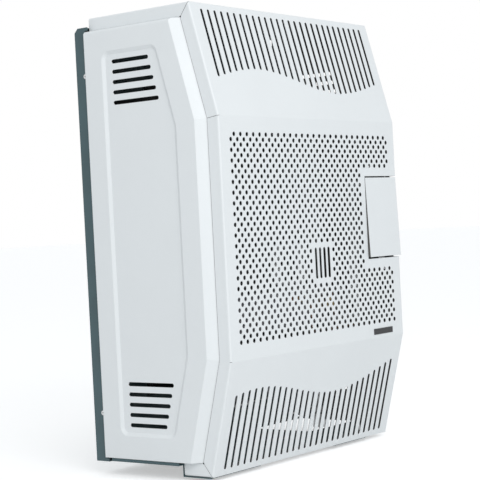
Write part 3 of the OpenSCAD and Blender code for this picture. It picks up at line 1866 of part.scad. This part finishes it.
rear_frame();
frame_rivets();
panel_brackets();
cover_hooks();
bottom_pan();
front_cover();
side_panel_left();
side_panel_right();
cover_screws();
badge_plate();
control_flap();
flap_hinge_pin();
flap_hinge_arms();
flap_stop();
flap_buffer();
control_fascia();
dial_plate();
control_knob();
valve_spindle();
selector_sleeve();
knob_spring();
gas_valve();
valve_bracket();
valve_screws();
igniter_body();
igniter_nut();
igniter_button();
igniter_spring();
ignition_lead();
gas_inlet_pipe();
inlet_stub();
pipe_nuts();
inlet_bracket();
burner_feed_pipe();
injector_elbow();
injector();
burner();
burner_plate();
burner_gasket();
burner_screws();
pilot_burner();
pilot_pipe();
thermocouple();
ignition_electrode();
chamber_front();
chamber_back();
baffle_plate();
window_glass();
window_gasket();
window_frame();
window_screws();
chamber_brackets();
chamber_bolts();
heat_shield();
air_box();
intake_duct();
air_spigot();
flue_spigot();
thermostat_bulb();
bulb_clips();
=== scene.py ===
"""Looks of the wall mounted gas heater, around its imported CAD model.

Metres, in the CAD's frame: the origin is the middle of the casing on the wall plane,
X to the right, -Y into the room, Z up.
"""

import json
import math

import bmesh
import bpy
from mathutils import Matrix, Vector


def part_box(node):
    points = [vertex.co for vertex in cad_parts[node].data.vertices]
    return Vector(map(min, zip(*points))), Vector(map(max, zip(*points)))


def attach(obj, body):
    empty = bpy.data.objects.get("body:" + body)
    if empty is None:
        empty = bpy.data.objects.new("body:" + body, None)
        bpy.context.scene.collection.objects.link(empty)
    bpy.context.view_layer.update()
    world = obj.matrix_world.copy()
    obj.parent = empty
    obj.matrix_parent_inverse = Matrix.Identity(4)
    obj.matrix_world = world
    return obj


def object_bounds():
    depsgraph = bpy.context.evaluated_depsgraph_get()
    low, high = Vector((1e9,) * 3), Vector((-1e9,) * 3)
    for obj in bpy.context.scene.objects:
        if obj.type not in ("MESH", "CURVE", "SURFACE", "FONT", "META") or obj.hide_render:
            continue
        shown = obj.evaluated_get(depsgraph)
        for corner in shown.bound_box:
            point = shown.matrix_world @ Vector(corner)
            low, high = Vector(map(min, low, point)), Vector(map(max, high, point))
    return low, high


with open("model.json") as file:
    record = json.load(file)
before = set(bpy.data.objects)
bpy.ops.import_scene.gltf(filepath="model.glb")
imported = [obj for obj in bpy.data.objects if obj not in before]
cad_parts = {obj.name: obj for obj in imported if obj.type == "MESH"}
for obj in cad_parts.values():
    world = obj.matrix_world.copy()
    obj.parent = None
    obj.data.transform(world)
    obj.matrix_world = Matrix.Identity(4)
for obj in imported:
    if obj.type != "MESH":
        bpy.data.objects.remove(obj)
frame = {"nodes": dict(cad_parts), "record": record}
cad_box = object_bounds()
nodes = frame["nodes"]
slot_of = {part["node"]: part["material_slot"] for part in frame["record"]["subparts"]}


# ---- Shader building ----


class Shader:
    """A node material built call by call, ending in one principled shader."""

    def __init__(self, name):
        self.material = bpy.data.materials.new(name)
        self.material.use_nodes = True
        self.tree = self.material.node_tree
        self.bsdf = self.tree.nodes["Principled BSDF"]
        self.place = self.add("ShaderNodeTexCoord").outputs["Object"]

    def add(self, kind, **values):
        node = self.tree.nodes.new(kind)
        for key, value in values.items():
            if key in node.inputs:
                self.feed(node.inputs[key], value)
            else:
                setattr(node, key, value)
        return node

    def feed(self, socket, value):
        if isinstance(value, bpy.types.NodeSocket):
            self.tree.links.new(value, socket)
        else:
            socket.default_value = value

    def set(self, **values):
        for key, value in values.items():
            self.feed(self.bsdf.inputs[key.replace("_", " ")], value)

    def noise(self, scale, detail=3.0, rough=0.5, where=None):
        node = self.add("ShaderNodeTexNoise", Scale=scale, Detail=detail, Roughness=rough)
        self.feed(node.inputs["Vector"], where or self.place)
        return node.outputs["Fac"]

    def stretched(self, x, y, z):
        node = self.add("ShaderNodeMapping")
        node.inputs["Scale"].default_value = (x, y, z)
        self.feed(node.inputs["Vector"], self.place)
        return node.outputs["Vector"]

    def voronoi(self, scale, feature="F1"):
        node = self.add("ShaderNodeTexVoronoi", Scale=scale, feature=feature)
        self.feed(node.inputs["Vector"], self.place)
        return node

    def ranged(self, value, low, high, start=0.0, end=1.0):
        node = self.add("ShaderNodeMapRange")
        self.feed(node.inputs["Value"], value)
        node.inputs["From Min"].default_value = start
        node.inputs["From Max"].default_value = end
        node.inputs["To Min"].default_value = low
        node.inputs["To Max"].default_value = high
        return node.outputs["Result"]

    def crevice_shade(self, reach):
        """Mask for painted shade: 0 deep in a seam narrower than the reach in metres, 1 in the
        open.
        """
        node = self.add("ShaderNodeAmbientOcclusion", samples=8, Distance=reach)
        return self.ranged(node.outputs["AO"], 0, 1, 0.25, 0.85)

    def facing_in(self, middle):
        """1 on faces that look towards a middle point, 0 on faces that look away from it."""
        offset = self.add("ShaderNodeVectorMath", operation="SUBTRACT")
        self.feed(offset.inputs[0], self.place)
        offset.inputs[1].default_value = middle
        facing = self.add("ShaderNodeVectorMath", operation="DOT_PRODUCT")
        self.feed(facing.inputs[0], offset.outputs["Vector"])
        self.feed(facing.inputs[1], self.add("ShaderNodeNewGeometry").outputs["True Normal"])
        return self.ranged(facing.outputs["Value"], 1, 0, -0.012, -0.004)

    def mixed(self, factor, a, b):
        node = self.add("ShaderNodeMix", data_type="RGBA")
        self.feed(node.inputs[0], factor)
        for socket, value in ((node.inputs[6], a), (node.inputs[7], b)):
            self.feed(socket, value if isinstance(value, bpy.types.NodeSocket) else (*value, 1.0))
        return node.outputs[2]

    def bump(self, *layers, edge=0.0):
        """Stacks (height, distance in metres, strength) layers over an edge rounding."""
        normal = None
        if edge:
            node = self.add("ShaderNodeBevel", samples=6, Radius=edge)
            normal = node.outputs["Normal"]
        for height, distance, strength in layers:
            node = self.add("ShaderNodeBump", Height=height, Distance=distance, Strength=strength)
            if normal:
                self.feed(node.inputs["Normal"], normal)
            normal = node.outputs["Normal"]
        self.set(Normal=normal)


def tint(color, factor):
    return tuple(min(1.0, c * factor) for c in color)


# Painted shade: the casing's sheets stay white outside; faces that look in towards the casing's
# middle are painted dark grey for the shade inside it
CASING_MIDDLE = (0.0, -0.12, 0.0)
INSIDE_SHADE = (0.105, 0.1, 0.094)


def powder_coat(name, color, roughness, edge=0.0008):
    """Baked powder paint: fine orange peel, faint waviness of the sheet, faint soiling, painted
    shade in seams and on the inside faces.
    """
    s = Shader(name)
    peel = s.noise(620, 2.0, 0.45)
    wave = s.noise(5.5, 1.0)
    soil = s.noise(11, 5.0, 0.6)
    shade = s.mixed(s.ranged(soil, 0, 1, 0.35, 0.75), tint(color, 1.0), tint(color, 0.982))
    # Painted shade: ambient occlusion darkens seams and narrow gaps down to 0.3 of the paint
    # colour
    shade = s.mixed(s.crevice_shade(0.004), tint(color, 0.3), shade)
    # Painted shade: faces looking into the casing are coloured dark for the shade inside it
    shade = s.mixed(s.facing_in(CASING_MIDDLE), shade, INSIDE_SHADE)
    s.set(Base_Color=shade, Roughness=s.ranged(soil, roughness - 0.03, roughness + 0.05, 0.3, 0.7))
    s.set(Specular_IOR_Level=0.5)
    s.bump((wave, 0.0012, 0.25), (peel, 0.00012, 0.35), edge=edge)
    return s.material


def enamel(name, color):
    """Thin dark stove enamel on pressed steel, with random patches of soiling and dust."""
    s = Shader(name)
    peel = s.noise(420, 2.0)
    soil = s.noise(14, 6.0, 0.65)
    dust = s.noise(3.5, 3.0)
    shade = s.mixed(s.ranged(soil, 0, 1, 0.4, 0.7), tint(color, 0.9), tint(color, 1.15))
    shade = s.mixed(s.ranged(dust, 0, 0.035, 0.45, 0.8), shade, (0.42, 0.44, 0.43))
    s.set(Base_Color=shade, Roughness=s.ranged(soil, 0.36, 0.52, 0.3, 0.7))
    s.bump((peel, 0.00015, 0.4), edge=0.0006)
    return s.material


def zinc_plate(name, color, roughness=0.34):
    """Bright zinc on rolled steel: faint crystals, rolling lines and dull patches."""
    s = Shader(name)
    grain = s.noise(1, 4.0, 0.6, s.stretched(900, 60, 60))
    cells = s.voronoi(160)
    patch = s.noise(26, 5.0, 0.6)
    shade = s.mixed(s.ranged(patch, 0, 1, 0.35, 0.7), tint(color, 1.06), tint(color, 0.86))
    s.set(Base_Color=shade, Metallic=1.0)
    s.set(Roughness=s.ranged(patch, roughness - 0.07, roughness + 0.14, 0.3, 0.7))
    s.bump((cells.outputs["Distance"], 0.00006, 0.25), (grain, 0.00005, 0.3), edge=0.0003)
    return s.material


def exchanger_steel(name):
    """Aluminised sheet that has gone straw and blue-grey above the flames."""
    s = Shader(name)
    patch = s.noise(18, 6.0, 0.62)
    height = s.add("ShaderNodeSeparateXYZ", Vector=s.place).outputs["Z"]
    heat = s.ranged(height, 1.0, 0.0, -0.06, 0.16)
    wander = s.add("ShaderNodeMath", operation="MULTIPLY_ADD")
    s.feed(wander.inputs[0], patch)
    wander.inputs[1].default_value = 0.7
    s.feed(wander.inputs[2], heat)
    ramp = s.add("ShaderNodeValToRGB", Fac=s.ranged(wander.outputs[0], 0, 1, 0.2, 1.6))
    colors = (
        (0.0, (0.50, 0.50, 0.49)),
        (0.35, (0.52, 0.48, 0.42)),
        (0.6, (0.42, 0.35, 0.29)),
        (0.85, (0.27, 0.27, 0.31)),
    )
    for _ in range(2):
        ramp.color_ramp.elements.new(0.5)
    for stop, (at, color) in zip(ramp.color_ramp.elements, colors):
        stop.position = at
        stop.color = (*color, 1.0)
    s.set(Base_Color=ramp.outputs["Color"], Metallic=0.85)
    s.set(Roughness=s.ranged(patch, 0.42, 0.62, 0.3, 0.7))
    s.bump((patch, 0.0003, 0.3), (s.noise(500, 2.0), 0.0001, 0.4), edge=0.0008)
    return s.material


def heat_black(name, color):
    """Matt black heat-resistant paint, a little greyed by dust and heat."""
    s = Shader(name)
    grit = s.noise(900, 2.0, 0.6)
    dust = s.noise(16, 6.0, 0.65)
    shade = s.mixed(s.ranged(dust, 0, 1, 0.4, 0.75), color, tint(color, 1.7))
    s.set(Base_Color=shade, Roughness=s.ranged(dust, 0.62, 0.8, 0.35, 0.7))
    s.bump((grit, 0.00012, 0.5), edge=0.0006)
    return s.material


def cast_metal(name, color, roughness=0.5):
    """Die-cast aluminium with a fine sandy skin."""
    s = Shader(name)
    sand = s.noise(1500, 2.0, 0.6)
    patch = s.noise(40, 4.0)
    shade = s.mixed(s.ranged(patch, 0, 1, 0.35, 0.7), tint(color, 1.05), tint(color, 0.85))
    s.set(Base_Color=shade, Metallic=0.9)
    s.set(Roughness=s.ranged(patch, roughness - 0.06, roughness + 0.08, 0.3, 0.7))
    s.bump((sand, 0.0002, 0.5), edge=0.0009)
    return s.material


def turned_metal(name, color, roughness):
    """Machined brass, copper or aluminium with fine lines and a little tarnish."""
    s = Shader(name)
    lines = s.noise(1, 3.0, 0.5, s.stretched(300, 2400, 300))
    patch = s.noise(60, 5.0, 0.65)
    shade = s.mixed(s.ranged(patch, 0, 1, 0.4, 0.75), tint(color, 1.05), tint(color, 0.72))
    s.set(Base_Color=shade, Metallic=1.0)
    s.set(Roughness=s.ranged(patch, roughness, roughness + 0.15, 0.35, 0.75))
    s.bump((lines, 0.00004, 0.35), edge=0.0003)
    return s.material


def moulded(name, color, roughness, grain=0.0001):
    """Injection moulded plastic with a spark-eroded grain."""
    s = Shader(name)
    pits = s.noise(1800, 2.0, 0.5)
    wear = s.noise(30, 5.0, 0.6)
    shade = s.mixed(s.ranged(wear, 0, 1, 0.4, 0.8), color, tint(color, 1.25))
    s.set(Base_Color=shade, Roughness=s.ranged(wear, roughness, roughness + 0.12, 0.35, 0.75))
    s.bump((pits, grain, 0.5), edge=0.0005)
    return s.material


def clear_glass(name):
    s = Shader(name)
    haze = s.noise(45, 6.0, 0.7)
    s.set(Base_Color=(0.93, 0.96, 0.95, 1.0), Transmission_Weight=1.0, IOR=1.5)
    s.set(Roughness=s.ranged(haze, 0.0, 0.14, 0.5, 0.8))
    return s.material


def fibre(name):
    """Chalky ceramic and pressed ceramic fibre."""
    s = Shader(name)
    threads = s.noise(1, 5.0, 0.7, s.stretched(700, 2200, 900))
    patch = s.noise(50, 4.0)
    shade = s.mixed(s.ranged(patch, 0, 1, 0.35, 0.7), (0.84, 0.82, 0.77), (0.72, 0.69, 0.63))
    s.set(Base_Color=shade, Roughness=0.85)
    s.bump((threads, 0.0003, 0.5))
    return s.material


MATERIALS = {
    "white_paint": powder_coat("white_paint", (0.848, 0.878, 0.890), 0.44),
    "grey_paint": enamel("grey_paint", (0.052, 0.100, 0.113)),
    "zinc_plate": zinc_plate("zinc_plate", (0.66, 0.67, 0.68)),
    "exchanger_steel": exchanger_steel("exchanger_steel"),
    "black_coat": heat_black("black_coat", (0.016, 0.017, 0.018)),
    "cast_aluminium": cast_metal("cast_aluminium", (0.58, 0.59, 0.60)),
    "dial_aluminium": turned_metal("dial_aluminium", (0.74, 0.75, 0.76), 0.3),
    "brass": turned_metal("brass", (0.76, 0.57, 0.27), 0.26),
    "copper": turned_metal("copper", (0.72, 0.40, 0.25), 0.28),
    "black_plastic": moulded("black_plastic", (0.018, 0.018, 0.02), 0.42),
    "red_plastic": moulded("red_plastic", (0.52, 0.03, 0.025), 0.28, 0.00003),
    "rubber": moulded("rubber", (0.03, 0.03, 0.033), 0.62, 0.00015),
    "window_glass": clear_glass("window_glass"),
    "ceramic_fibre": fibre("ceramic_fibre"),
    "print_black": moulded("print_black", (0.03, 0.03, 0.032), 0.5, 0.00002),
    "print_white": moulded("print_white", (0.82, 0.82, 0.80), 0.45, 0.00002),
}

for name, node in nodes.items():
    for slot in node.material_slots:
        slot.material = MATERIALS[slot_of[name]]


# ---- Small rounded edges on the moulded and cast pieces ----


def round_edges(name, width, segments=3):
    modifier = nodes[name].modifiers.new("rounding", "BEVEL")
    modifier.width = width
    modifier.segments = segments
    modifier.limit_method = "ANGLE"
    modifier.angle_limit = math.radians(35)
    modifier.harden_normals = False


# ---- Dial markings and the knob's pointer ----

DIAL_STEPS = 6
DIAL_TURN = math.radians(270)
DIGIT_SIZE = 0.0044
DIGIT_RADIUS = 0.0248
TICK_INNER = 0.0209
TICK_OUTER = 0.0224
PRINT_THICKNESS = 0.00012

# The pointer line, as distances from the knob's axis and from its front
POINTER_HALF_WIDTH = 0.00055
POINTER_INNER = 0.0042
POINTER_OUTER = 0.0158
POINTER_SINK = 0.00012
POINTER_FLOOR = 0.0006


def new_piece(name, mesh, material, body):
    piece = bpy.data.objects.new(name, mesh)
    bpy.context.collection.objects.link(piece)
    mesh.materials.append(material)
    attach(piece, body)
    return piece


def add_box(bm, low, high):
    size = Vector(high) - Vector(low)
    middle = (Vector(high) + Vector(low)) / 2
    matrix = Matrix.Translation(middle) @ Matrix.Diagonal((*size, 1))
    return bmesh.ops.create_cube(bm, size=1, matrix=matrix)["verts"]


def digit_mesh(text):
    """A printed digit as a thin mesh, upright in XZ and facing -Y, centred on its own middle."""
    curve = bpy.data.curves.new("digit", "FONT")
    curve.body = text
    curve.size = DIGIT_SIZE
    curve.extrude = PRINT_THICKNESS / 2
    curve.align_x = "CENTER"
    curve.align_y = "CENTER"
    source = bpy.data.objects.new("digit", curve)
    bpy.context.collection.objects.link(source)
    mesh = bpy.data.meshes.new_from_object(source)
    bpy.data.objects.remove(source)
    mesh.transform(Matrix.Rotation(math.pi / 2, 4, "X"))
    return mesh


def dial_markings():
    """Numbers and half-step ticks round the dial; the knob turns anticlockwise from 0 on top."""
    low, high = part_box("dial_plate")
    centre = (Vector(low) + Vector(high)) / 2
    centre.y = low[1] - PRINT_THICKNESS / 2
    bm = bmesh.new()
    for half in range(2 * DIAL_STEPS + 1):
        angle = DIAL_TURN * half / (2 * DIAL_STEPS)
        spin = Matrix.Rotation(-angle, 4, "Y")
        if half % 2 == 0:
            mesh = digit_mesh(str(half // 2))
            place = spin @ Vector((0, 0, DIGIT_RADIUS))
            mesh.transform(Matrix.Translation(centre + place))
            bm.from_mesh(mesh)
        half_width = 0.0003 if half % 2 == 0 else 0.0002
        verts = add_box(
            bm,
            (-half_width, -PRINT_THICKNESS / 2, TICK_INNER),
            (half_width, PRINT_THICKNESS / 2, TICK_OUTER),
        )
        bmesh.ops.transform(bm, matrix=Matrix.Translation(centre) @ spin, verts=verts)
    mesh = bpy.data.meshes.new("dial_markings")
    bm.to_mesh(mesh)
    new_piece("dial_markings", mesh, MATERIALS["print_black"], "heater")


def knob_pointer():
    """The white line inlaid in the knob's grip bar."""
    low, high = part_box("control_knob")
    x = (low[0] + high[0]) / 2
    z = (low[2] + high[2]) / 2
    bm = bmesh.new()
    add_box(
        bm,
        (x - POINTER_HALF_WIDTH, low[1] + POINTER_SINK, z + POINTER_INNER),
        (x + POINTER_HALF_WIDTH, low[1] + POINTER_FLOOR, z + POINTER_OUTER),
    )
    bmesh.ops.bevel(bm, geom=bm.edges[:], offset=0.0001, segments=2, affect="EDGES")
    mesh = bpy.data.meshes.new("knob_pointer")
    bm.to_mesh(mesh)
    new_piece("knob_pointer", mesh, MATERIALS["print_white"], "knob")


dial_markings()
knob_pointer()
for name, width in (
    ("control_knob", 0.0006),
    ("igniter_button", 0.0003),
    ("gas_valve", 0.0008),
    ("badge_plate", 0.00025),
    ("igniter_body", 0.0004),
    ("selector_sleeve", 0.0003),
):
    round_edges(name, width)


# ---- Camera, at the photograph's angle ----

CAMERA_AT = Vector((-1.7021, -1.4246, 0.0177))
AZIMUTH = math.radians(52.13)
ELEVATION = math.radians(-0.605)
ROLL = math.radians(2.98)
LENS = 109.14

forward = Vector(
    (
        math.cos(ELEVATION) * math.sin(AZIMUTH),
        math.cos(ELEVATION) * math.cos(AZIMUTH),
        math.sin(ELEVATION),
    )
)
level = forward.cross(Vector((0, 0, 1))).normalized()
upright = level.cross(forward)
up = upright * math.cos(ROLL) + level * math.sin(ROLL)
right = forward.cross(up)
camera_data = bpy.data.cameras.new("camera")
camera_data.lens = LENS
camera_data.sensor_width = 36
camera_data.clip_start = 0.05
camera_data.clip_end = 60
camera = bpy.data.objects.new("camera", camera_data)
turned = Matrix((right, up, -forward)).transposed().to_4x4()
camera.matrix_world = Matrix.Translation(CAMERA_AT) @ turned
bpy.context.collection.objects.link(camera)
bpy.context.scene.camera = camera


# ---- Floor, world and lamps ----


def seen_rays(tree):
    """1 for camera, glossy and transmission rays, else 0."""
    path = tree.nodes.new("ShaderNodeLightPath")
    total = path.outputs["Is Camera Ray"]
    for name in ("Is Glossy Ray", "Is Transmission Ray"):
        node = tree.nodes.new("ShaderNodeMath")
        node.operation = "MAXIMUM"
        tree.links.new(total, node.inputs[0])
        tree.links.new(path.outputs[name], node.inputs[1])
        total = node.outputs[0]
    return total


# Light of the surroundings as it falls on matt surfaces, then as rays see it directly
SKY_TINT = (0.93, 0.97, 1.0)
SKY_STRENGTH = 0.63
SEEN_STRENGTH = 1.0
# Reflectance of the floor, and the glow that keeps it nearly white where it is seen
FLOOR_GREY = 0.8
FLOOR_GLOW = 0.45
FLOOR_SIZE = 30
FLOOR_GAP = 0.002
KEY_WATTS = 46


def make_world():
    world = bpy.data.worlds.new("studio")
    world.use_nodes = True
    tree = world.node_tree
    background = tree.nodes["Background"]
    seen = seen_rays(tree)
    color = tree.nodes.new("ShaderNodeMix")
    color.data_type = "RGBA"
    color.inputs[6].default_value = (*SKY_TINT, 1)
    color.inputs[7].default_value = (1, 1, 1, 1)
    tree.links.new(seen, color.inputs[0])
    tree.links.new(color.outputs[2], background.inputs["Color"])
    mix = tree.nodes.new("ShaderNodeMapRange")
    mix.inputs["To Min"].default_value = SKY_STRENGTH
    mix.inputs["To Max"].default_value = SEEN_STRENGTH
    tree.links.new(seen, mix.inputs["Value"])
    tree.links.new(mix.outputs["Result"], background.inputs["Strength"])
    bpy.context.scene.world = world


def make_floor():
    size = FLOOR_SIZE
    mesh = bpy.data.meshes.new("floor")
    z = cad_box[0][2] - FLOOR_GAP
    corners = [(-size, -size, z), (size, -size, z), (size, size, z), (-size, size, z)]
    mesh.from_pydata(corners, [], [(0, 1, 2, 3)])
    floor = bpy.data.objects.new("floor", mesh)
    bpy.context.collection.objects.link(floor)
    s = Shader("floor")
    s.set(Base_Color=(FLOOR_GREY, FLOOR_GREY, FLOOR_GREY, 1.0), Roughness=0.9)
    glow = s.tree.nodes.new("ShaderNodeMapRange")
    glow.inputs["To Min"].default_value = 0.0
    glow.inputs["To Max"].default_value = FLOOR_GLOW
    s.tree.links.new(seen_rays(s.tree), glow.inputs["Value"])
    s.set(Emission_Color=(1, 1, 1, 1), Emission_Strength=glow.outputs["Result"])
    mesh.materials.append(s.material)


def make_lamp(name, at, towards, size, power):
    data = bpy.data.lights.new(name, "AREA")
    data.shape = "RECTANGLE"
    data.size, data.size_y = size
    data.energy = power
    lamp = bpy.data.objects.new(name, data)
    direction = (Vector(towards) - Vector(at)).normalized()
    aimed = direction.to_track_quat("-Z", "Y").to_matrix().to_4x4()
    lamp.matrix_world = Matrix.Translation(at) @ aimed
    bpy.context.collection.objects.link(lamp)


bpy.context.scene.view_settings.view_transform = "Standard"
make_world()
make_floor()
make_lamp("key", (-1.8, -2.7, 1.5), (0, -0.12, 0), (2.2, 1.8), KEY_WATTS)
